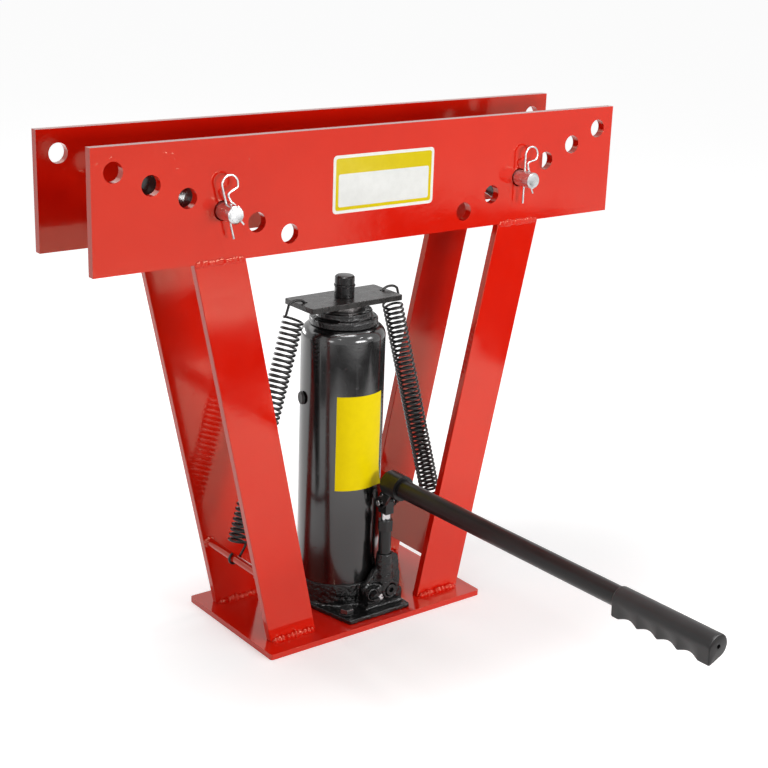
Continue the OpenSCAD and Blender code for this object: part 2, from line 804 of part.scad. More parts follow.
function coil_point(deg, up) =
    hook_low + up * spring_up + coil_r * (cos(deg) * spring_in + [0, sin(deg), 0]);
function low_hook(deg) = hook_low + coil_r * (cos(deg) * spring_in + sin(deg) * spring_up);
function top_hook(deg) = hook_top + coil_r * [cos(deg), 0, hook_flat * sin(deg)];
coil_low = riser_low;
coil_high = spring_len - riser_top;
coil_end_deg = 360 * spring_turns + 180;
spring_path = [
    for (i = [0 : 10]) low_hook(low_hook_deg * (i / 10 - 1)),
    for (u = [0 : 30 : 90])
        coil_point(bend_deg * (1 - cos(u)), coil_low - bend_r * (1 - sin(u))),
    for (i = [1 : coil_rings - 1])
        let (f = i / coil_rings)
            coil_point(bend_deg + f * (coil_end_deg - 2 * bend_deg), coil_low + f * (coil_high - coil_low)),
    for (u = [0 : 30 : 90])
        coil_point(coil_end_deg - bend_deg * (1 - sin(u)), coil_high + bend_r * (1 - cos(u))),
    for (i = [0 : 8]) top_hook(180 - 22.5 * i),
    for (f = [0.5, 1]) [hook_x, 0, hook_top[2] + f * (ram_top - hook_end - hook_top[2])]
];

module left_spring() {
    color(spring_black) wire(spring_path, wire_r, wire_sides, [0, 1, 0]);
}

module right_spring() {
    color(spring_black) mirror([1, 0, 0]) wire(spring_path, wire_r, wire_sides, [0, 1, 0]);
}

echo(least_gap_between_spring_turns = wire_gap(spring_path, spring_wire_d));  // left_spring

// Pump: tube, gland, plunger, and the fixed link that carries the lever's fulcrum

module pump_tube() {
    color(cast_black) translate([pump_x, pump_y, pump_floor]) difference() {
        cylinder(d = pump_tube_d, h = pump_tube_z - pump_floor);
        translate([0, 0, -over]) cylinder(d = plunger_d + 2 * fit, h = pump_tube_z);
    }
}

module pump_gland() {
    color(cast_black) translate([pump_x, pump_y, pump_tube_z]) difference() {
        hex_prism(gland_w, gland_h);
        translate([0, 0, -over]) cylinder(d = plunger_d + 2 * fit, h = gland_h + 2 * over);
    }
}

module plunger() {
    neck_z = plunger_foot + 6;
    head_z = plunger_pin_z - head_drop;
    color(steel) difference() {
        union() {
            translate([pump_x, pump_y, plunger_foot])
                cylinder(d = plunger_d, h = plunger_pin_z - plunger_foot);
            box([pump_x - head_w / 2, pump_y - head_r, head_z],
                [pump_x + head_w / 2, pump_y + head_r, plunger_pin_z]);
            rod_along_x([pump_x - head_w / 2, pump_y, plunger_pin_z], 2 * head_r, head_w);
        }
        translate([pump_x, pump_y, neck_z]) difference() {
            cylinder(d = plunger_d + 2 * over, h = plunger_seal_h);
            cylinder(d = plunger_d - 3, h = plunger_seal_h);
        }
        rod_along_x([pump_x - head_w, pump_y, plunger_pin_z], lever_pin_d + 2 * fit, 2 * head_w);
    }
}

module plunger_seal() {
    color(rubber) translate([pump_x, pump_y, plunger_foot + 6]) difference() {
        cylinder(d = plunger_d, h = plunger_seal_h);
        translate([0, 0, -over]) cylinder(d = plunger_d - 3 + 2 * fit, h = plunger_seal_h + 2 * over);
    }
}

module lever_pin(x0, x1, y, z) {
    color(steel) rod_along_x([x0, y, z], lever_pin_d, x1 - x0);
}

// Faces between which the fulcrum pin and the link's lower pin are clipped
fulcrum_span = [pump_x + cheek_in, link_x + link_t];
foot_span = [link_x - pass - ear_t, link_x + link_t + pass + ear_t];

module plunger_pin() {
    lever_pin(pump_x - cheek_out - pin_end, pump_x + cheek_out + pin_end, pump_y, plunger_pin_z);
}

module fulcrum_pin() {
    lever_pin(fulcrum_span[0] - pin_end, fulcrum_span[1] + pin_end, fulcrum_y, pivot_z);
}

module link_pin() {
    lever_pin(foot_span[0], foot_span[1] + pin_end, fulcrum_y, link_foot_z);
}

// Push-on clips at both ends of the fulcrum pin and at the outer end of the link's lower pin
module lever_clips() {
    color(steel) for (p = [
        [fulcrum_span[0] - pass - lever_clip_t, pivot_z],
        [fulcrum_span[1] + pass, pivot_z],
        [foot_span[1] + pass, link_foot_z]
    ]) difference() {
        rod_along_x([p[0], fulcrum_y, p[1]], lever_clip_d, lever_clip_t);
        rod_along_x([p[0] - over, fulcrum_y, p[1]], lever_pin_d + 2 * fit, lever_clip_t + 2 * over);
    }
}

module fulcrum_link() {
    drop = pivot_z - link_foot_z;
    color(cast_black) lever_plate(link_x, link_t) difference() {
        union() {
            circle(eye_r);
            translate([-link_deep / 2, -drop]) square([link_deep, drop]);
            translate([0, -drop]) circle(eye_r);
        }
        circle(lever_pin_r + fit);
        translate([0, -drop]) circle(lever_pin_r + fit);
    }
}

// Lever: socket with two cheeks, handle tube and grip

// Cheek from its rear end up to the sleeve; the right cheek reaches back to the fulcrum
module cheek_outline(rear) {
    sleeve_low = pivot_drop - socket_r;
    toe = lever + slot_out + lever_pin_r + 3;
    slot_r = lever_pin_r + slot_play;
    difference() {
        union() {
            translate([rear, 0]) circle(eye_r);
            translate([lever, 0]) circle(eye_r + 1.5);
            polygon([
                [rear, -eye_r], [lever, -eye_r - 1.5], [toe, 0], [toe + 6, sleeve_low + 2],
                [toe + 6, pivot_drop], [socket_back, pivot_drop], [socket_back, sleeve_low], [rear, eye_r]
            ]);
        }
        circle(lever_pin_r + fit);
        translate([lever - slot_in, 0]) circle(slot_r);
        translate([lever + slot_out, 0]) circle(slot_r);
        translate([lever - slot_in, -slot_r]) square([slot_in + slot_out, 2 * slot_r]);
    }
}

// The handle at rest, turned about the fulcrum
module lever_rest() {
    fulcrum = [pump_x, fulcrum_y, pivot_z];
    translate(fulcrum) rotate([-handle_tilt, 0, 0]) translate(-fulcrum) children();
}

module handle_socket() {
    color(black) lever_rest() difference() {
        union() {
            rod_along_y([pump_x, socket_back_y - socket_len, handle_z], 2 * socket_r, socket_len);
            lever_plate(pump_x - cheek_out, cheek_t) cheek_outline(lever);
            lever_plate(pump_x + cheek_in, cheek_t) cheek_outline(0);
        }
        rod_along_y([pump_x, tube_y - socket_len, handle_z], tube_d + 2 * fit, socket_len);
    }
}

module handle_tube() {
    color(black) lever_rest() difference() {
        rod_along_y([pump_x, tube_end_y, handle_z], tube_d, tube_len);
        rod_along_y([pump_x, tube_end_y - over, handle_z], tube_d - 2 * tube_wall, tube_len + 2 * over);
    }
}

module handle_grip() {
    low = [pump_x - grip_w / 2, handle_z - grip_keel];
    high = [pump_x + grip_w / 2, handle_z + grip_top];
    margin = 5;
    hollow_step = (grip_len - 2 * margin) / grip_hollows;
    color(rubber) lever_rest() difference() {
        xz_plate(grip_y, grip_y + grip_len) rounded_rectangle(low, high, grip_round);
        rod_along_y([pump_x, tube_end_y - fit, handle_z], tube_d + 2 * fit, grip_len + over);
        rod_along_y([pump_x, grip_y - over, handle_z], hang_hole_d, grip_cap + 2 * over);
        for (i = [0 : grip_hollows - 1])
            rod_along_x([pump_x - grip_w, grip_y + margin + (i + 0.5) * hollow_step,
                handle_z - grip_keel - grip_hollow_r + grip_hollow_deep], 2 * grip_hollow_r, 2 * grip_w);
    }
}

// Rollers, their pins and the hairpin clips

module roller(side) {
    half = inner_y - roller_gap;
    waist = half - roller_land;
    dip = (roller_d - roller_waist_d) / 2;
    arc_r = (waist * waist + dip * dip) / (2 * dip);
    color(cast_black) translate([side * pin_x, -half, pin_z]) rotate([-90, 0, 0]) rotate_extrude() difference() {
        translate([pin_r + fit, 0]) square([roller_d / 2 - pin_r - fit, 2 * half]);
        translate([roller_waist_d / 2 + arc_r, half]) circle(arc_r, $fn = 180);
    }
}

module left_roller() { roller(-1); }
module right_roller() { roller(1); }

module roller_pin(side, tilt) {
    tip_y = -half_w - pin_proud;
    color(steel) translate([side * pin_x, 0, pin_z]) difference() {
        union() {
            rod_along_y([0, tip_y + pin_chamfer, 0], pin_d, half_w - tip_y - pin_chamfer);
            translate([0, tip_y, 0]) rotate([-90, 0, 0])
                cylinder(d1 = pin_d - 2 * pin_chamfer, d2 = pin_d, h = pin_chamfer);
            rod_along_y([0, half_w, 0], pin_head_d, pin_head_t);
        }
        translate([0, clip_y, 0]) rotate([0, tilt, 0])
            cylinder(r = clip_r + pass, h = 2 * pin_d, center = true);
    }
}

module left_pin() { roller_pin(-1, left_clip_tilt); }
module right_pin() { roller_pin(1, right_clip_tilt); }

// Hairpin clip: straight leg through the pin, round loop, then a leg that bows round the pin
clip_bow = pin_r + clip_r + pass;
clip_pinch = [4, pin_r + 5.5];
clip_path = [
    [0, 0, -clip_leg_down], [0, 0, -pin_r], [0, 0, pin_r], [0, 0, clip_loop_up - 6],
    for (a = [180 : -20 : -40])
        [clip_loop_r * (1 + cos(a)), 0, clip_loop_up + clip_loop_r * sin(a)],
    [clip_pinch[0] + 1.2, 0, clip_pinch[1] + 2.6],
    [clip_pinch[0], 0, clip_pinch[1]],
    [clip_pinch[0] + 0.6, 0, clip_pinch[1] - 2.6],
    for (a = [50 : -10 : 0]) [clip_bow * cos(a), 0, clip_bow * sin(a)],
    [clip_bow, 0, -pin_r * 0.6],
    [clip_bow + 0.8, 0, -pin_r - 2],
    [clip_bow + 3.5, 0, -pin_r - 8]
];

module clip(side, tilt) {
    color(steel) translate([side * pin_x, clip_y, pin_z]) rotate([0, tilt, 0])
        wire(clip_path, clip_r, 8, [0, 1, 0]);
}

module left_clip() { clip(-1, left_clip_tilt); }
module right_clip() { clip(1, right_clip_tilt); }

base_plate();
leg_front_left();
leg_front_right();
leg_rear_left();
leg_rear_right();
front_plate();
rear_plate();
cross_plate();
left_rod();
right_rod();
foot_welds();
head_welds();
jack_base();
jack_bolts();
jack_washers();
tank();
tank_gasket();
working_cylinder();
tank_cap();
ram_wiper();
filler_plug();
pump_tube();
pump_gland();
fulcrum_link();
link_pin();
fulcrum_pin();
lever_clips();
check_plug();
safety_screw();
valve_balls();
ram();
ram_seal();
nose_pin();
spring_plate();
nose_clip();
left_spring();
right_spring();
plunger();
plunger_pin();
plunger_seal();
handle_socket();
handle_tube();
handle_grip();
release_valve();
left_pin();
right_pin();
left_clip();
right_clip();
left_roller();
right_roller();
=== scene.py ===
"""Looks of the hydraulic pipe bender: camera, studio, materials, rounded edges, casting skin,
welds, springs, clips, labels and grip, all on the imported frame."""
import json
import math

import bmesh
import bpy
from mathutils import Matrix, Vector, noise


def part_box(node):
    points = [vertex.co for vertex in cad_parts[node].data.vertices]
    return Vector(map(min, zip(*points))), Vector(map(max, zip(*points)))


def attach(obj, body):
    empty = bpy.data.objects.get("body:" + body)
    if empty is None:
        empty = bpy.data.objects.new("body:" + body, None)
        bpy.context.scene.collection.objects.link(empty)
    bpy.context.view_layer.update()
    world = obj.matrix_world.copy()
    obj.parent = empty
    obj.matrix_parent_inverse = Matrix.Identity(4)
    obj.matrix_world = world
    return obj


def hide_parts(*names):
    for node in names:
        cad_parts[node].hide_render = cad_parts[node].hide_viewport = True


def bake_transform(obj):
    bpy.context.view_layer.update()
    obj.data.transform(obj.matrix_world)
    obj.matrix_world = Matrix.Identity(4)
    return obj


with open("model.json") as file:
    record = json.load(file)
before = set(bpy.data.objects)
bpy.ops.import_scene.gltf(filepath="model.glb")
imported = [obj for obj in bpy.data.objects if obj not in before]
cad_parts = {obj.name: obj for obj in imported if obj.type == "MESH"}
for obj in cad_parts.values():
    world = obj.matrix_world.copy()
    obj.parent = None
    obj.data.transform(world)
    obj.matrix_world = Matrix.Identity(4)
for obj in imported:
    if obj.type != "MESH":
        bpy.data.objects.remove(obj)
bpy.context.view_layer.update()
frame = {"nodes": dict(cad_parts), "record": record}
NODES = frame["nodes"]
BODY_OF = {n: b for b, names in frame["record"]["behaviour"]["bodies"].items() for n in names}
SLOT_OF = {s["node"]: s["material_slot"] for s in frame["record"]["subparts"]}
MM = 0.001
scene = bpy.context.scene
scene.view_settings.view_transform = "Standard"


# Camera, fitted to the photograph: turn, rise and roll in degrees, place in metres

VIEW = (-38.47, 18.26, 2.30)
EYE = Vector((-0.87280, -1.20171, 0.73002))
SENSOR, LENS = 36, 72.545
SHIFT = (-0.0281, 0.0009)


def add_camera():
    az, el, roll = (math.radians(a) for a in VIEW)
    back = Vector((math.sin(az) * math.cos(el), -math.cos(az) * math.cos(el), math.sin(el)))
    right = (-back).cross(Vector((0, 0, 1))).normalized()
    up = right.cross(-back)
    c, s = math.cos(roll), math.sin(roll)
    data = bpy.data.cameras.new("camera")
    data.sensor_width, data.lens = SENSOR, LENS
    data.shift_x, data.shift_y = SHIFT
    data.clip_end = 100
    cam = bpy.data.objects.new("camera", data)
    scene.collection.objects.link(cam)
    x, y = c * right + s * up, c * up - s * right
    for i in range(3):
        cam.matrix_world[i][0], cam.matrix_world[i][1] = x[i], y[i]
        cam.matrix_world[i][2], cam.matrix_world[i][3] = back[i], EYE[i]
    scene.camera = cam


# Studio: a white surround, a pale floor that keeps the shadow, and soft lamps

def link(tree, a, out, b, inp):
    tree.links.new(a.outputs[out], b.inputs[inp])


def seen_flag(tree):
    """1 for camera, glossy and transmission rays, else 0."""
    path = tree.nodes.new("ShaderNodeLightPath")
    last, socket = path, "Is Camera Ray"
    for ray in ("Is Glossy Ray", "Is Transmission Ray"):
        m = tree.nodes.new("ShaderNodeMath")
        m.operation = "MAXIMUM"
        link(tree, last, socket, m, 0)
        link(tree, path, ray, m, 1)
        last, socket = m, "Value"
    return last, socket


def set_range(m, low, high, a, b):
    for key, v in (("From Min", low), ("From Max", high), ("To Min", a), ("To Max", b)):
        m.inputs[key].default_value = v


AMBIENT = 0.28
FLOOR_GREY, FLOOR_REACH, FLOOR_Z = 0.80, 40, -0.0004
# Glow of the floor close to the stand and far from it; the lower glow close by is painted shade
FLOOR_LIFT = (0.38, 0.74)
# Oval pool of painted shade under the stand, where the floor glows less: place and size in metres,
# and where it starts and ends as shares of its size
PAINTED_SHADE_PLACE, PAINTED_SHADE_SIZE, PAINTED_SHADE_EDGE = (0.10, -0.07), (0.36, 0.19), (0.5, 1.5)
# Lamps, all turned to one point: place, size, watts; the gloss one shows only as a highlight
LAMP_AIM = Vector((0, 0, 0.25))
BOXES = (
    ("key", (0.30, -1.37, 0.54), (0.62, 0.28), 10.4),
    ("box_right", (1.7, -1.7, 1.3), (0.5, 0.5), 8),
    ("box_left", (-1.6, -0.65, 0.62), (0.30, 0.40), 2.4),
    ("box_back", (-0.5, 2.0, 1.7), (2.2, 0.5), 4),
    ("key_back", (-0.25, 1.45, 0.38), (0.62, 0.28), 6),
    ("spark_right", (0.7, -1.5, 1.7), (0.06, 0.06), 1.6),
    ("spark_left", (-1.3, -1.3, 1.6), (0.06, 0.06), 1.6),
    ("spark_top", (1.2, 0.15, 1.7), (0.06, 0.06), 1.6),
    ("gloss_over", (-0.1, -0.35, 1.8), (0.9, 0.5), 16),
)
# Dark flags that stand beside the set and show only in gloss: place, width, height, turn in degrees
FLAGS = (
    ((-0.05, -0.70), 1.35, 0.12, 0), ((0.74, -0.80), 0.34, 0.22, 40),
    ((0.68, -0.18), 1.05, 0.12, 92), ((-0.70, -0.32), 0.75, 0.12, 90),
    ((-0.62, 0.42), 0.9, 0.16, -55),
)


def add_world():
    world = bpy.data.worlds.new("studio")
    scene.world = world
    world.use_nodes = True
    t = world.node_tree
    t.nodes.clear()
    out = t.nodes.new("ShaderNodeOutputWorld")
    mix = t.nodes.new("ShaderNodeMixShader")
    flag, socket = seen_flag(t)
    link(t, flag, socket, mix, 0)
    for slot, strength in ((1, AMBIENT), (2, 1.0)):
        sky = t.nodes.new("ShaderNodeBackground")
        sky.inputs["Color"].default_value = (1, 1, 1, 1)
        sky.inputs["Strength"].default_value = strength
        link(t, sky, 0, mix, slot)
    link(t, mix, 0, out, 0)


def floor_white():
    """Matt white that glows for the camera and in gloss, less so in the pool, which is painted
    shade under the stand.
    """
    mat = bpy.data.materials.new("floor_white")
    mat.use_nodes = True
    t = mat.node_tree
    t.nodes.clear()
    out = t.nodes.new("ShaderNodeOutputMaterial")
    add = t.nodes.new("ShaderNodeAddShader")
    diffuse = t.nodes.new("ShaderNodeBsdfDiffuse")
    diffuse.inputs["Color"].default_value = (FLOOR_GREY, FLOOR_GREY, FLOOR_GREY, 1)
    glow = t.nodes.new("ShaderNodeEmission")
    glow.inputs["Color"].default_value = (1, 1, 1, 1)
    where = t.nodes.new("ShaderNodeTexCoord")
    pool = t.nodes.new("ShaderNodeMapping")
    pool.vector_type = "TEXTURE"
    pool.inputs["Location"].default_value = (*PAINTED_SHADE_PLACE, 0)
    pool.inputs["Scale"].default_value = (*PAINTED_SHADE_SIZE, 1)
    link(t, where, "Object", pool, "Vector")
    far = t.nodes.new("ShaderNodeVectorMath")
    far.operation = "LENGTH"
    link(t, pool, 0, far, 0)
    # Glow lowered inside the oval pool: a painted shadow under the stand
    level = t.nodes.new("ShaderNodeMapRange")
    level.interpolation_type = "SMOOTHSTEP"
    set_range(level, *PAINTED_SHADE_EDGE, *FLOOR_LIFT)
    link(t, far, "Value", level, "Value")
    lift = t.nodes.new("ShaderNodeMath")
    lift.operation = "MULTIPLY"
    link(t, level, 0, lift, 1)
    flag, socket = seen_flag(t)
    link(t, flag, socket, lift, 0)
    link(t, lift, 0, glow, "Strength")
    link(t, diffuse, 0, add, 0)
    link(t, glow, 0, add, 1)
    link(t, add, 0, out, 0)
    return mat


def add_floor():
    bm = bmesh.new()
    bmesh.ops.create_grid(bm, x_segments=8, y_segments=8, size=FLOOR_REACH)
    me = bpy.data.meshes.new("floor")
    bm.to_mesh(me)
    bm.free()
    floor = bpy.data.objects.new("floor", me)
    floor.location.z = FLOOR_Z
    me.materials.append(floor_white())
    scene.collection.objects.link(floor)


def add_lamps():
    for name, place, size, watts in BOXES:
        light = bpy.data.lights.new(name, "AREA")
        light.shape, light.energy = "RECTANGLE", watts
        light.size, light.size_y = size
        lamp = bpy.data.objects.new(name, light)
        lamp.location = place
        lamp.rotation_euler = (Vector(place) - LAMP_AIM).to_track_quat("Z", "Y").to_euler()
        lamp.visible_camera = False
        lamp.visible_diffuse = not name.startswith("gloss")
        scene.collection.objects.link(lamp)


def add_flags():
    mat = bpy.data.materials.new("flag_black")
    mat.use_nodes = True
    b = mat.node_tree.nodes["Principled BSDF"]
    b.inputs["Base Color"].default_value = (0.03, 0.03, 0.03, 1)
    b.inputs["Roughness"].default_value = 0.9
    for i, (place, wide, high, turn) in enumerate(FLAGS):
        c, n = math.cos(math.radians(turn)) * wide / 2, math.sin(math.radians(turn)) * wide / 2
        corners = ((-1, 0), (1, 0), (1, high), (-1, high))
        verts = [(place[0] + q * c, place[1] + q * n, z) for q, z in corners]
        me = bpy.data.meshes.new("flag_%d" % i)
        me.from_pydata(verts, [], [(0, 1, 2, 3)])
        me.materials.append(mat)
        o = bpy.data.objects.new("flag_%d" % i, me)
        o.visible_camera = o.visible_diffuse = o.visible_shadow = o.visible_transmission = False
        scene.collection.objects.link(o)


# Materials: object coordinates in metres, so every scale is features per metre

def shader(name, colour, rough, metal=0.0, ior=1.5):
    mat = bpy.data.materials.new(name)
    mat.use_nodes = True
    t = mat.node_tree
    b = t.nodes["Principled BSDF"]
    b.inputs["Base Color"].default_value = (*colour, 1)
    b.inputs["Roughness"].default_value = rough
    b.inputs["Metallic"].default_value = metal
    b.inputs["IOR"].default_value = ior
    where = t.nodes.new("ShaderNodeTexCoord")
    return mat, t, b, where


def grain(t, where, scale, detail=2.0, rough=0.5, stretch=None):
    n = t.nodes.new("ShaderNodeTexNoise")
    n.inputs["Scale"].default_value = scale
    n.inputs["Detail"].default_value = detail
    n.inputs["Roughness"].default_value = rough
    if stretch:
        m = t.nodes.new("ShaderNodeMapping")
        m.inputs["Scale"].default_value = stretch
        link(t, where, "Object", m, "Vector")
        link(t, m, "Vector", n, "Vector")
    else:
        link(t, where, "Object", n, "Vector")
    return n


def ramp(t, source, low, high, a, b):
    """Map Range of a noise, clamped, from low..high to a..b."""
    m = t.nodes.new("ShaderNodeMapRange")
    set_range(m, low, high, a, b)
    link(t, source, 0, m, "Value")
    return m


def two_tone(t, fac, a, b, target):
    mix = t.nodes.new("ShaderNodeMix")
    mix.data_type = "RGBA"
    link(t, fac, 0, mix, 0)
    mix.inputs["A"].default_value = (*a, 1)
    mix.inputs["B"].default_value = (*b, 1)
    t.links.new(mix.outputs["Result"], target)


def bumps(t, b, layers):
    """Chain of bumps: (source, strength, depth in metres)."""
    last = None
    for source, strength, depth in layers:
        n = t.nodes.new("ShaderNodeBump")
        n.inputs["Strength"].default_value = strength
        n.inputs["Distance"].default_value = depth
        link(t, source, 0, n, "Height")
        if last:
            link(t, last, 0, n, "Normal")
        last = n
    link(t, last, 0, b, "Normal")


def enamel(name, a, b_colour, rough, ior, wave, peel, fleck, tint=(1, 1, 1)):
    """Sprayed enamel: slow colour drift, orange peel that gathers in patches, small dust flecks."""
    mat, t, b, where = shader(name, a, rough[0], ior=ior)
    b.inputs["Specular Tint"].default_value = (*tint, 1)
    drift = grain(t, where, 9, 3)
    two_tone(t, ramp(t, drift, 0.35, 0.65, 0, 1), a, b_colour, b.inputs["Base Color"])
    smear = grain(t, where, 38, 4, 0.6)
    link(t, ramp(t, smear, 0.3, 0.7, *rough), 0, b, "Roughness")
    slow = grain(t, where, 16, 1)
    patch = ramp(t, grain(t, where, 13, 3, 0.6), 0.50, 0.66, 0.12, 1)
    skin = t.nodes.new("ShaderNodeMath")
    skin.operation = "MULTIPLY"
    link(t, grain(t, where, 300, 3, 0.55), 0, skin, 0)
    link(t, patch, 0, skin, 1)
    dust = ramp(t, grain(t, where, 260, 1), 0.70, 0.78, 0, 1)
    bumps(t, b, ((slow, wave, 0.004), (skin, peel, 0.0008), (dust, fleck, 0.0004)))
    return mat


def cast_skin(name, a, b_colour, rough, coarse, fine):
    """Rough casting under thick paint."""
    mat, t, b, where = shader(name, a, rough[0], ior=1.48)
    patch = grain(t, where, 130, 4, 0.6)
    two_tone(t, ramp(t, patch, 0.38, 0.66, 0, 1), a, b_colour, b.inputs["Base Color"])
    link(t, ramp(t, patch, 0.3, 0.7, *rough), 0, b, "Roughness")
    bumps(t, b, ((grain(t, where, 260, 3), coarse, 0.0012),
                 (grain(t, where, 900, 2), fine, 0.0003)))
    return mat


def steel(name, a, b_colour, rough, metal, along, lines, ior=1.5):
    """Worked steel: drawn lines along one axis, smudges in colour and roughness."""
    stretch = {"y": (1, 0.04, 1), "z": (1, 1, 0.04), "": (1, 1, 1)}[along]
    mat, t, b, where = shader(name, a, rough[0], metal=metal, ior=ior)
    smudge = grain(t, where, 70, 4, 0.6)
    two_tone(t, ramp(t, smudge, 0.35, 0.68, 0, 1), a, b_colour, b.inputs["Base Color"])
    line = grain(t, where, 2400, 2, 0.5, stretch)
    link(t, ramp(t, smudge, 0.3, 0.7, *rough), 0, b, "Roughness")
    bumps(t, b, ((line, lines, 0.00012), (grain(t, where, 160, 2), 0.05, 0.0006)))
    return mat


def matt(name, a, b_colour, rough, scale, strength):
    """Moulded rubber or plastic with a fine grain."""
    mat, t, b, where = shader(name, a, rough[0])
    tone = grain(t, where, 60, 3)
    two_tone(t, ramp(t, tone, 0.3, 0.7, 0, 1), a, b_colour, b.inputs["Base Color"])
    link(t, ramp(t, tone, 0.3, 0.7, *rough), 0, b, "Roughness")
    bumps(t, b, ((grain(t, where, scale, 3, 0.6), strength, 0.0003),))
    return mat


def film(name, a, b_colour, rough):
    """Printed foil: faint scuffs in an even colour."""
    mat, t, b, where = shader(name, a, rough[0], ior=1.18)
    scuff = grain(t, where, 120, 4, 0.65)
    two_tone(t, ramp(t, scuff, 0.3, 0.75, 0, 1), a, b_colour, b.inputs["Base Color"])
    link(t, ramp(t, scuff, 0.3, 0.7, *rough), 0, b, "Roughness")
    bumps(t, b, ((grain(t, where, 45, 2), 0.06, 0.002),))
    return mat


MATERIALS = {
    "red_paint": enamel("red_paint", (0.69, 0.010, 0.002), (0.64, 0.007, 0.0015),
                        (0.06, 0.13), 1.56, 0.010, 0.16, 0.10, (1.0, 0.89, 0.64)),
    "black_paint": enamel("black_paint", (0.0032, 0.0030, 0.0032), (0.0050, 0.0046, 0.0048),
                          (0.12, 0.21), 1.80, 0.010, 0.10, 0.15),
    "black_casting": cast_skin("black_casting", (0.0030, 0.0029, 0.0031), (0.0060, 0.0056, 0.0058),
                               (0.06, 0.18), 1.0, 0.30),
    "blackened_steel": steel("blackened_steel", (0.009, 0.0085, 0.0087), (0.005, 0.0047, 0.0049),
                             (0.16, 0.30), 0.20, "", 0.12, 1.5),
    "bright_steel": steel("bright_steel", (0.70, 0.70, 0.70), (0.50, 0.50, 0.51),
                          (0.16, 0.34), 1.0, "y", 0.20),
    "ground_steel": steel("ground_steel", (0.74, 0.74, 0.75), (0.60, 0.60, 0.62),
                          (0.10, 0.20), 1.0, "", 0.10),
    "spring_steel": steel("spring_steel", (0.010, 0.010, 0.010), (0.006, 0.006, 0.006),
                          (0.24, 0.40), 0.15, "", 0.15, 1.5),
    "seal_rubber": matt("seal_rubber", (0.018, 0.018, 0.018), (0.026, 0.025, 0.025),
                        (0.50, 0.65), 900, 0.25),
    "grip_plastic": matt("grip_plastic", (0.0075, 0.0066, 0.0068), (0.011, 0.0097, 0.010),
                         (0.28, 0.42), 1500, 0.30),
}
# Pieces whose finish differs from the rest of their slot
CAP_BLACK = cast_skin("cap_black", (0.005, 0.0046, 0.0048), (0.010, 0.0092, 0.0095),
                      (0.14, 0.28), 0.7, 0.3)
PLATE_BLACK = cast_skin("plate_black", (0.013, 0.0115, 0.0105), (0.020, 0.0175, 0.016),
                        (0.22, 0.36), 0.15, 0.25)
TUBE_BLACK = enamel("tube_black", (0.0032, 0.0029, 0.0030), (0.0055, 0.0050, 0.0052),
                    (0.28, 0.40), 1.42, 0.012, 0.12, 0.2)
BOLT_STEEL = steel("bolt_steel", (0.17, 0.16, 0.16), (0.08, 0.075, 0.076),
                   (0.16, 0.32), 1.0, "", 0.15)
RAM_STEEL = steel("ram_steel", (0.26, 0.245, 0.24), (0.15, 0.14, 0.14),
                  (0.18, 0.32), 1.0, "z", 0.12)
LABEL_WHITE = film("label_white", (0.84, 0.83, 0.78), (0.80, 0.79, 0.74), (0.25, 0.38))
LABEL_YELLOW = film("label_yellow", (0.70, 0.545, 0.002), (0.66, 0.505, 0.002), (0.30, 0.44))
TANK_YELLOW = film("tank_yellow", (0.88, 0.68, 0.001), (0.83, 0.635, 0.001), (0.30, 0.44))
LABEL_PALE = film("label_pale", (0.80, 0.80, 0.77), (0.74, 0.74, 0.71), (0.25, 0.38))


# Pieces

def add_piece(name, me, material, body, node=None):
    o = bpy.data.objects.new(name, me)
    me.materials.clear()
    me.materials.append(material)
    scene.collection.objects.link(o)
    if body:
        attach(o, body)
    if node:
        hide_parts(node)
    return o


def show(node, me, material=None):
    """The mesh in place of the node, on the node's body and in its slot."""
    slot = SLOT_OF[node]
    return add_piece(node + ".shown", me, material or MATERIALS[slot], BODY_OF[node], node)


SHARP = 32


def shade(me, angle=SHARP):
    me.shade_smooth()
    me.set_sharp_from_angle(angle=math.radians(angle))


def cleaned(node):
    """A copy of a node's mesh with one vertex at each corner and its flat faces whole."""
    bm = bmesh.new()
    bm.from_mesh(NODES[node].data)
    bmesh.ops.remove_doubles(bm, verts=bm.verts, dist=2e-6)
    bmesh.ops.dissolve_limit(bm, angle_limit=math.radians(0.4), verts=bm.verts, edges=bm.edges)
    me = bpy.data.meshes.new(node)
    bm.to_mesh(me)
    bm.free()
    return me


def dress(node, edge, material=None):
    """The node's own shape with its edges rounded by edge millimetres."""
    me = cleaned(node)
    shade(me)
    o = show(node, me, material)
    m = o.modifiers.new("edges", "BEVEL")
    m.width, m.segments, m.limit_method, m.angle_limit = edge * MM, 2, "ANGLE", math.radians(SHARP)
    m.harden_normals = True
    m.use_clamp_overlap = True
    return o


def mesh_of(name, verts, faces):
    me = bpy.data.meshes.new(name)
    me.from_pydata([tuple(v) for v in verts], [], faces)
    me.validate()
    return me


def outward_mesh(name, verts, faces):
    """A closed mesh with its faces turned outward."""
    me = mesh_of(name, verts, faces)
    bm = bmesh.new()
    bm.from_mesh(me)
    bmesh.ops.recalc_face_normals(bm, faces=bm.faces)
    bm.to_mesh(me)
    bm.free()
    return me


def grow(path, radius, sides, first_normal):
    """Round tube along a path: vertices and faces, ends closed."""
    verts, faces = [], []
    n = Vector(first_normal)
    last = len(path) - 1
    for i, p in enumerate(path):
        t = (path[min(i + 1, last)] - path[max(i - 1, 0)]).normalized()
        n = (n - n.dot(t) * t).normalized()
        b = t.cross(n)
        for k in range(sides):
            a = 2 * math.pi * k / sides
            verts.append(p + radius * (math.cos(a) * n + math.sin(a) * b))
    for i in range(last):
        for k in range(sides):
            a, c = i * sides + k, i * sides + (k + 1) % sides
            faces.append((a, c, c + sides, a + sides))
    faces.append(tuple(reversed(range(sides))))
    faces.append(tuple(range(last * sides, (last + 1) * sides)))
    return verts, faces


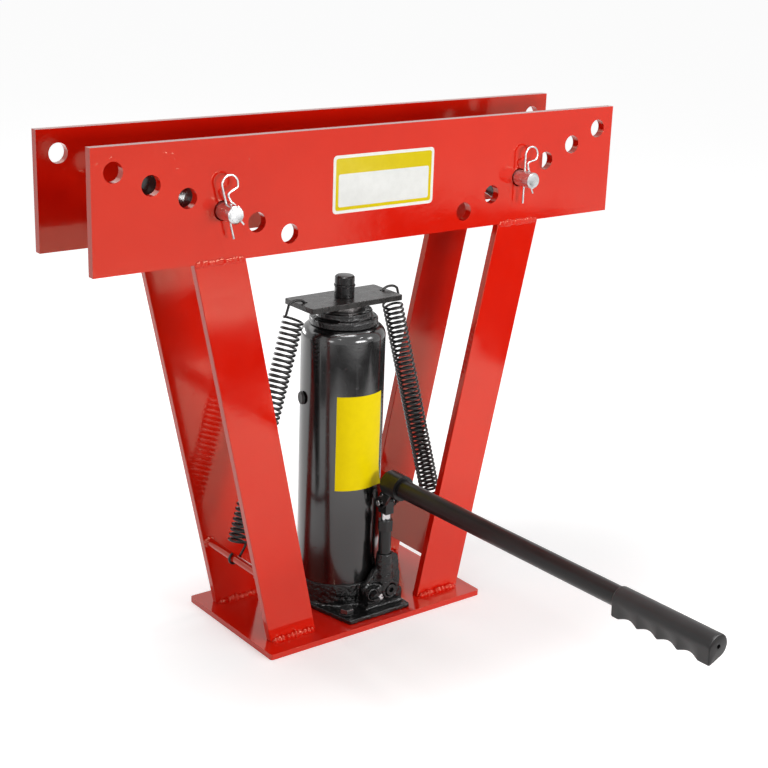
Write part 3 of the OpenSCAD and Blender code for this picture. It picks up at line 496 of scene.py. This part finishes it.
def lathe(profile, sides):
    """Closed profile of (radius, height) turned about the ram's axis."""
    verts, faces = [], []
    count = len(profile)
    for k in range(sides):
        a = 2 * math.pi * k / sides
        for r, z in profile:
            verts.append((r * math.cos(a), r * math.sin(a), z))
    for k in range(sides):
        for i in range(count):
            j, q = (i + 1) % count, (k + 1) % sides
            faces.append((k * count + i, q * count + i, q * count + j, k * count + j))
    return verts, faces


def cast_shape(node, voxel, smooth, rough):
    """The node's shape with soft corners and a lumpy skin; voxel and rough in millimetres."""
    me = cleaned(node)
    o = bpy.data.objects.new(node + ".work", me)
    scene.collection.objects.link(o)
    m = o.modifiers.new("skin", "REMESH")
    m.mode, m.voxel_size = "VOXEL", voxel * MM
    m = o.modifiers.new("soften", "SMOOTH")
    m.factor, m.iterations = 0.5, smooth
    deps = bpy.context.evaluated_depsgraph_get()
    out = bpy.data.meshes.new_from_object(o.evaluated_get(deps))
    bpy.data.objects.remove(o)
    normals = [v.normal.copy() for v in out.vertices]
    for v, n in zip(out.vertices, normals):
        p = v.co / MM
        d = 0.8 * noise.noise(p / 7.0) + noise.noise(p / 3.2 + Vector((31, 7, 3)))
        v.co += n * d * rough * MM
    out.shade_smooth()
    return out


# The stand, the pins and the other plain pieces keep their CAD shape, with edges rounded by so
# many millimetres

EDGES = (
    ("base_plate", 0.9), ("front_plate", 0.8), ("rear_plate", 0.8), ("leg_front_left", 0.7),
    ("leg_front_right", 0.7), ("leg_rear_left", 0.7), ("leg_rear_right", 0.7), ("cross_plate", 0.5),
    ("left_rod", 0.4), ("right_rod", 0.4), ("fulcrum_link", 0.5), ("jack_washers", 0.25),
    ("pump_tube", 0.3), ("pump_gland", 0.5), ("check_plug", 0.5), ("release_valve", 0.6),
    ("nose_pin", 0.4), ("nose_clip", 0.5), ("left_roller", 0.7), ("right_roller", 0.7),
    ("link_pin", 0.4), ("fulcrum_pin", 0.4), ("lever_clips", 0.15), ("safety_screw", 0.3),
    ("plunger_pin", 0.4), ("left_pin", 0.3), ("right_pin", 0.3), ("ram_wiper", 0.3),
    ("filler_plug", 0.5),
)
SEALED_IN = ("working_cylinder", "ram_seal", "plunger_seal", "valve_balls", "tank_gasket")
PLUNGER_HEAD = 18.5


def dress_all():
    for node, edge in EDGES:
        dress(node, edge)
    dress("spring_plate", 0.7, PLATE_BLACK)
    dress("jack_bolts", 0.4, BOLT_STEEL)
    dress("ram", 0.4, RAM_STEEL)
    dress("handle_socket", 0.5, TUBE_BLACK)
    add_plunger()
    dress("handle_tube", 0.5, TUBE_BLACK)
    for node in SEALED_IN:
        data = NODES[node].data
        data.materials.clear()
        data.materials.append(MATERIALS[SLOT_OF[node]])


def add_plunger():
    """Ground rod with a blackened head."""
    o = dress("plunger", 0.4)
    o.data.materials.append(MATERIALS["blackened_steel"])
    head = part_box("plunger")[1].z - PLUNGER_HEAD * MM
    for f in o.data.polygons:
        f.material_index = int(f.center.z > head)


def add_castings():
    show("jack_base", cast_shape("jack_base", 0.9, 4, 0.50))
    show("tank_cap", cast_shape("tank_cap", 0.9, 3, 0.25), CAP_BLACK)


# Grip

ROUND_STEPS, TIP_STEPS, FLAT_STEPS = 40, 12, 6


def drop_section(r, tip_r, reach, roll):
    """Outline round a circle of radius r and a small one, of radius tip_r, that ends at reach."""
    centre = reach - tip_r
    edge = math.acos((r - tip_r) / centre)
    down = -math.pi / 2 - roll

    def point(c, radius, a):
        return (c * math.cos(down) + radius * math.cos(down + a),
                c * math.sin(down) + radius * math.sin(down + a))

    def between(p, q):
        return [tuple(a + (b - a) * i / FLAT_STEPS for a, b in zip(p, q))
                for i in range(1, FLAT_STEPS)]

    sweep = 2 * math.pi - 2 * edge
    big = [point(0, r, edge + sweep * i / ROUND_STEPS) for i in range(ROUND_STEPS + 1)]
    tip = [point(centre, tip_r, -edge + 2 * edge * i / TIP_STEPS) for i in range(TIP_STEPS + 1)]
    return big + between(big[-1], tip[0]) + tip + between(tip[-1], big[0])


def add_grip():
    """Moulded grip: a rolled drop section with four finger hollows along its keel."""
    low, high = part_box("handle_grip")
    tilt, length = math.radians(0.9), 110
    r, tip_r, reach, roll = 10.9, 1.7, 17.6, math.radians(33)
    first, pitch, count, deep, sharp = 12, 22.6, 4, 3.5, 1.15
    bore_r, hole_r, bottom = 9.8, 2.0, 18
    edge, edge_steps = 1.3, 4
    # The handle's axis at the grip's free end, which leans by the handle's tilt
    start = Vector(((low.x + high.x) / 2, low.y + 0.25 * MM, high.z - 12.5 * MM))
    along = Vector((0, math.cos(tilt), -math.sin(tilt)))
    up = Vector((0, math.sin(tilt), math.cos(tilt)))

    def hollow(t):
        s = (t - first) / pitch
        return deep * abs(math.sin(math.pi * s)) ** sharp if 0 < s < count else 0.0

    rounded = []
    for i in range(edge_steps + 1):
        a = math.pi / 2 * i / edge_steps
        inset = edge * (1 - math.sin(a))
        ring = drop_section(r - inset, tip_r, reach - inset, roll)
        rounded.append((edge * (1 - math.cos(a)), ring))
    body = [(t, drop_section(r, tip_r, reach - hollow(t), roll)) for t in range(2, length - 1)]
    rings = rounded + body + [(length - t, ring) for t, ring in reversed(rounded)]
    angles = [math.atan2(z, x) for x, z in rounded[2][1]]
    # Down the tube's bore and out through the hanging hole
    for t, radius in ((length, bore_r), (bottom, bore_r), (bottom, hole_r), (0, hole_r)):
        rings.append((t, [(radius * math.cos(a), radius * math.sin(a)) for a in angles]))
    verts = [start + MM * (t * along + z * up + Vector((x, 0, 0)))
             for t, ring in rings for x, z in ring]
    n, total = len(angles), len(rings)
    faces = []
    for i in range(total):
        a, b = i * n, (i + 1) % total * n
        faces += [(a + k, a + (k + 1) % n, b + (k + 1) % n, b + k) for k in range(n)]
    me = outward_mesh("handle_grip", verts, faces)
    shade(me)
    show("handle_grip", me)


def add_tank():
    """Drawn steel tank with a rounded shoulder and a slightly rolled foot."""
    low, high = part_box("tank")
    r, shoulder, wall, foot = high.x, 12 * MM, 3 * MM, 1.0 * MM
    mouth = 29.3 * MM
    top = [(r - shoulder + shoulder * math.cos(a), high.z - shoulder + shoulder * math.sin(a))
           for a in (math.radians(10 * i) for i in range(10))]
    base = [(r - foot + foot * math.sin(a), low.z + foot - foot * math.cos(a))
            for a in (math.radians(30 * i) for i in range(4))]
    ceiling = high.z - shoulder - wall
    inner = [(mouth, high.z), (mouth, ceiling), (r - wall, ceiling), (r - wall, low.z)]
    verts, faces = lathe(base + top + inner, 128)
    me = mesh_of("tank", verts, faces)
    shade(me, 35)
    show("tank", me)


# Return springs

TURNS, TURN_STEPS = 43, 22
# Radius of the wire and of the coil's centre line, and the top hook's height over its width
SPRING_WIRE = 1.3 * MM
COIL_R = 9.7 * MM
HOOK_FLAT = 0.55


def spring_path(sign):
    """Loop round the rod, the turns, and the low hook over the spring plate's end."""
    rod_low, rod_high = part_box("left_rod")
    plate_low, plate_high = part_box("spring_plate")
    rod = Vector(((rod_low.x + rod_high.x) / 2, 0, (rod_low.z + rod_high.z) / 2))
    rod_r = (rod_high.z - rod_low.z) / 2
    gap, hole = 0.3 * MM, SPRING_WIRE + 1.2 * MM
    hook_x = plate_low.x + 8 * MM
    inner_r = COIL_R - SPRING_WIRE
    rest = (HOOK_FLAT * COIL_R - SPRING_WIRE) * math.sqrt(1 - ((COIL_R - hole) / inner_r) ** 2)
    top = Vector((hook_x - COIL_R, 0, plate_high.z + gap - rest))
    up = (top - rod).normalized()
    low = rod + up * (inner_r - rod_r - gap)
    inward = Vector((up.z, 0, -up.x))
    side = Vector((0, 1, 0))
    span = (top - low).length
    start, end, bend = 12 * MM, span - 13 * MM, 3 * MM
    bend_a = bend / COIL_R
    whole = 2 * math.pi * TURNS + math.pi
    loop_r = rod_r + SPRING_WIRE + gap

    def coil(a, h):
        return low + up * h + COIL_R * (math.cos(a) * inward + math.sin(a) * side)

    pts = []
    for i in range(25):
        a = math.radians(235) * (i / 24 - 1)
        pts.append(rod + loop_r * (math.cos(a) * inward + math.sin(a) * up))
    for u in (math.radians(15 * i) for i in range(7)):
        pts.append(coil(bend_a * (1 - math.cos(u)), start - bend * (1 - math.sin(u))))
    rings = TURNS * TURN_STEPS
    for i in range(1, rings):
        f = i / rings
        pts.append(coil(bend_a + f * (whole - 2 * bend_a), start + f * (end - start)))
    for u in (math.radians(15 * i) for i in range(7)):
        pts.append(coil(whole - bend_a * (1 - math.sin(u)), end + bend * (1 - math.cos(u))))
    for i in range(25):
        a = math.pi * (1 - i / 24)
        pts.append(top + COIL_R * Vector((math.cos(a), 0, HOOK_FLAT * math.sin(a))))
    tip = plate_low.z - 2.5 * MM
    pts += [Vector((hook_x, 0, top.z + f * (tip - top.z))) for f in (0.35, 0.7, 1)]
    if sign > 0:
        pts = [Vector((-p.x, p.y, p.z)) for p in pts]
        rod.x, top.x = -rod.x, -top.x
    return pts, rod, top


def add_springs():
    for name, sign in (("left_spring", -1), ("right_spring", 1)):
        pts, rod, top = spring_path(sign)
        verts, faces = grow(pts, SPRING_WIRE, 10, (0, 1, 0))
        me = mesh_of(name, verts, faces)
        shade(me, 60)
        o = add_piece(name + ".shown", me, MATERIALS["spring_steel"], None, name)
        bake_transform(o)


# Hairpin clips: the CAD clip's path as one smooth wire

def smooth_path(points, steps):
    """Catmull-Rom curve through the points."""
    out = []
    last = len(points) - 1
    for i in range(last):
        p0, p1 = points[max(i - 1, 0)], points[i]
        p2, p3 = points[i + 1], points[min(i + 2, last)]
        for k in range(steps):
            t = k / steps
            out.append(0.5 * (2 * p1 + (p2 - p0) * t + (2 * p0 - 5 * p1 + 4 * p2 - p3) * t * t
                              + (3 * p1 - p0 - 3 * p2 + p3) * t ** 3))
    return out + [points[-1]]


def add_clips():
    """Straight leg through the pin, loop above it, and a bow that grips the pin's right side."""
    pin_r, wire, loop_r, loop_up, leg, plate_gap = 8, 1, 8, 23.5, 25, 8
    bow, pinch = pin_r + wire + 0.3, (4, pin_r + 5.5)
    flat = [(0, -leg), (0, -pin_r), (0, pin_r), (0, loop_up - 6)]
    for a in range(180, -41, -20):
        c, s = math.cos(math.radians(a)), math.sin(math.radians(a))
        flat.append((loop_r * (1 + c), loop_up + loop_r * s))
    flat += [(pinch[0] + 1.2, pinch[1] + 2.6), pinch, (pinch[0] + 0.6, pinch[1] - 2.6)]
    for a in range(50, -1, -10):
        flat.append((bow * math.cos(math.radians(a)), bow * math.sin(math.radians(a))))
    flat += [(bow, -pin_r * 0.6), (bow + 0.8, -pin_r - 2), (bow + 3.5, -pin_r - 8)]
    for side, tilt in (("left", -14), ("right", 0)):
        low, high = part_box(side + "_pin")
        x, z = (low.x + high.x) / 2, (low.z + high.z) / 2
        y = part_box("front_plate")[0].y - plate_gap * MM
        c, s = math.cos(math.radians(tilt)), math.sin(math.radians(tilt))
        pts = [Vector((x + (c * u + s * v) * MM, y, z + (c * v - s * u) * MM)) for u, v in flat]
        verts, faces = grow(smooth_path(pts, 4), wire * MM, 12, (0, 1, 0))
        name = side + "_clip"
        me = mesh_of(name, verts, faces)
        shade(me, 60)
        show(name, me)


# Welds: lumpy beads along the feet, across the leg heads and round the spring rods

FOOT_BEAD, FOOT_PITCH = 6.3, 5.0
HEAD_BEAD, HEAD_PITCH, HEAD_FLAT = 4.0, 3.4, 0.28


def bead(verts, faces, start, end, out, up, size, seed, pitch):
    """Rippled bead from start to end, in the corner between out and up; all in millimetres."""
    along = end - start
    length = along.length
    along.normalize()
    steps = max(int(length / 0.55), 8)
    arc = 9
    first = len(verts)
    for i in range(steps + 1):
        s = length * i / steps
        wob = noise.noise(Vector((s / 6.0, seed, 0.3)))
        ripple = abs(math.sin(math.pi * (s + 2.2 * wob) / pitch)) ** 0.6
        end_fade = min(1.0, (min(s, length - s) + 0.25) / (0.9 * size)) ** 0.5
        r = size * (0.64 + 0.32 * ripple + 0.42 * wob) * end_fade
        centre = start + along * s
        ring = [centre - (out + up) * 0.12 * size]
        for k in range(arc):
            a = math.pi / 2 * k / (arc - 1)
            swell = r * (0.86 + 0.14 * math.sin(2 * a))
            ring.append(centre + out * (swell * math.cos(a) - 0.05)
                        + up * (swell * math.sin(a) - 0.05))
        verts += [p * MM for p in ring]
    n = arc + 1
    for i in range(steps):
        for k in range(n):
            a, b = first + i * n + k, first + i * n + (k + 1) % n
            faces.append((a, a + n, b + n, b))
    faces.append(tuple(range(first, first + n)))
    faces.append(tuple(reversed(range(first + steps * n, first + (steps + 1) * n))))


def add_welds():
    base_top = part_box("base_plate")[1].z / MM
    plate_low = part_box("front_plate")[0].z / MM
    for name, where in (("foot_welds", "foot"), ("head_welds", "head")):
        verts, faces = [], []
        seed = 0
        for leg in ("leg_front_left", "leg_front_right", "leg_rear_left", "leg_rear_right"):
            low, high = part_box(leg)
            xs = [v.co.x / MM for v in NODES[leg].data.vertices
                  if abs(v.co.z - (low.z if where == "foot" else high.z)) < 1e-5]
            x0, x1 = min(xs), max(xs)
            z = base_top if where == "foot" else plate_low
            for y, out in ((low.y / MM, -1), (high.y / MM, 1)):
                seed += 5
                start, end = Vector((x0 + 1, y, z)), Vector((x1 - 1, y, z))
                if where == "foot":
                    bead(verts, faces, start, end, Vector((0, out, 0)), Vector((0, 0, 1)),
                         FOOT_BEAD, seed, FOOT_PITCH)
                elif (out < 0) == ("front" in leg):
                    for up in (-1, 1):
                        bead(verts, faces, start, end, Vector((0, out * HEAD_FLAT, 0)),
                             Vector((0, 0, up)), HEAD_BEAD, seed, HEAD_PITCH)
        me = outward_mesh(name, verts, faces)
        shade(me, 55)
        show(name, me)


def add_rod_welds():
    """A lumpy ring where each spring rod meets its legs."""
    verts, faces = [], []
    size, steps, arc, sunk = 3.2, 60, 7, 0.1
    front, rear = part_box("leg_front_left")[1].y / MM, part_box("leg_rear_left")[0].y / MM
    for side in ("left", "right"):
        low, high = (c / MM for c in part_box(side + "_rod"))
        x, z, r = (low.x + high.x) / 2, (low.z + high.z) / 2, (high.z - low.z) / 2
        for y, out in ((front, 1), (rear, -1)):
            first = len(verts)
            for i in range(steps):
                a = 2 * math.pi * i / steps
                radial = Vector((math.cos(a), 0, math.sin(a)))
                lump = size * (0.8 + 0.45 * noise.noise(radial * 2.1 + Vector((x, y, 0))))
                for k in range(arc):
                    q = math.pi / 2 * k / (arc - 1)
                    verts.append((Vector((x, y, z)) + radial * (r - sunk + lump * math.cos(q))
                                  + Vector((0, out * (lump * math.sin(q) - sunk), 0))) * MM)
                verts.append((Vector((x, y - out * sunk, z)) + radial * (r - sunk)) * MM)
            n = arc + 1
            for i in range(steps):
                for k in range(n):
                    c0, c1 = first + i * n, first + (i + 1) % steps * n
                    faces.append((c0 + k, c0 + (k + 1) % n, c1 + (k + 1) % n, c1 + k))
    me = outward_mesh("rod_welds", verts, faces)
    shade(me, 55)
    add_piece("rod_welds", me, MATERIALS["red_paint"], "frame")


# Labels, left blank

def rounded_outline(x0, z0, x1, z1, r, steps=6):
    out = []
    corners = ((x1 - r, z1 - r, 0), (x0 + r, z1 - r, 90),
               (x0 + r, z0 + r, 180), (x1 - r, z0 + r, 270))
    for cx, cz, a0 in corners:
        for i in range(steps + 1):
            a = math.radians(a0 + 90 * i / steps)
            out.append((cx + r * math.cos(a), cz + r * math.sin(a)))
    return out


def flat_sheet(name, outline, y, thick, material):
    """Thin plate on the front of the front side plate, its edge eased."""
    n = len(outline)
    cx, cz = (sum(p[i] for p in outline) / n for i in (0, 1))
    verts = []
    for depth, inset in ((0.05, 0), (-thick * 0.6, 0), (-thick, 0.25)):
        for px, pz in outline:
            sx = px - math.copysign(inset, px - cx)
            sz = pz - math.copysign(inset, pz - cz)
            verts.append(Vector((sx, y + depth, sz)) * MM)
    faces = [tuple(range(n)), tuple(reversed(range(2 * n, 3 * n)))]
    for ring in (0, 1):
        for k in range(n):
            a, b = ring * n + k, ring * n + (k + 1) % n
            faces.append((a, a + n, b + n, b))
    me = outward_mesh(name, verts, faces)
    shade(me, 40)
    add_piece(name, me, material, "frame")


def add_plate_label():
    """White border, yellow field and pale panel, one on the other."""
    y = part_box("front_plate")[0].y / MM
    x0, x1, z0, z1 = -56, 62, 428.5, 483
    # Insets at the sides and below, and at the top; corner radius; height above the plate
    for name, inset, top_inset, r, thick, material in (
        ("label_border", 0, 0, 4, 0.25, LABEL_WHITE),
        ("label_field", 2.8, 2.8, 2.4, 0.32, LABEL_YELLOW),
        ("label_panel", 6, 17.5, 2, 0.39, LABEL_PALE),
    ):
        outline = rounded_outline(x0 + inset, z0 + inset, x1 - inset, z1 - top_inset, r)
        flat_sheet(name, outline, y, thick, material)


def add_tank_label():
    """Yellow foil round the tank's front, one lower corner lifted a little."""
    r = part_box("tank")[1].x / MM
    a0, a1, z0, z1 = -132, -59, 139, 238.5
    cols, rows = 60, 50
    verts, faces = [], []
    for layer in (0, 1):
        for j in range(rows + 1):
            for i in range(cols + 1):
                f, g = i / cols, j / rows
                lift = 2.2 * max(0.0, f - 0.80) / 0.20 * max(0.0, 0.22 - g) / 0.22
                wave = 0.10 * noise.noise(Vector((f * 5, g * 6, 2.0)))
                rr = r + 0.06 + 0.16 * layer + lift ** 1.5 * 0.8 + max(0, wave)
                a = math.radians(a0 + (a1 - a0) * f)
                verts.append(Vector((rr * math.cos(a), rr * math.sin(a), z0 + (z1 - z0) * g)) * MM)
    n, m = cols + 1, (cols + 1) * (rows + 1)
    for j in range(rows):
        for i in range(cols):
            a = j * n + i
            faces.append((a, a + n, a + n + 1, a + 1))
            faces.append((m + a, m + a + 1, m + a + n + 1, m + a + n))
    rim = list(range(n)) + [j * n + cols for j in range(1, rows + 1)]
    rim += [rows * n + i for i in range(cols - 1, -1, -1)] + [j * n for j in range(rows - 1, 0, -1)]
    for k, a in enumerate(rim):
        b = rim[(k + 1) % len(rim)]
        faces.append((a, b, b + m, a + m))
    me = mesh_of("tank_label", verts, faces)
    shade(me, 40)
    add_piece("tank_label", me, TANK_YELLOW, "frame")


add_camera()
add_world()
add_floor()
add_lamps()
add_flags()
dress_all()
add_castings()
add_grip()
add_tank()
add_springs()
add_clips()
add_welds()
add_rod_welds()
add_plate_label()
add_tank_label()
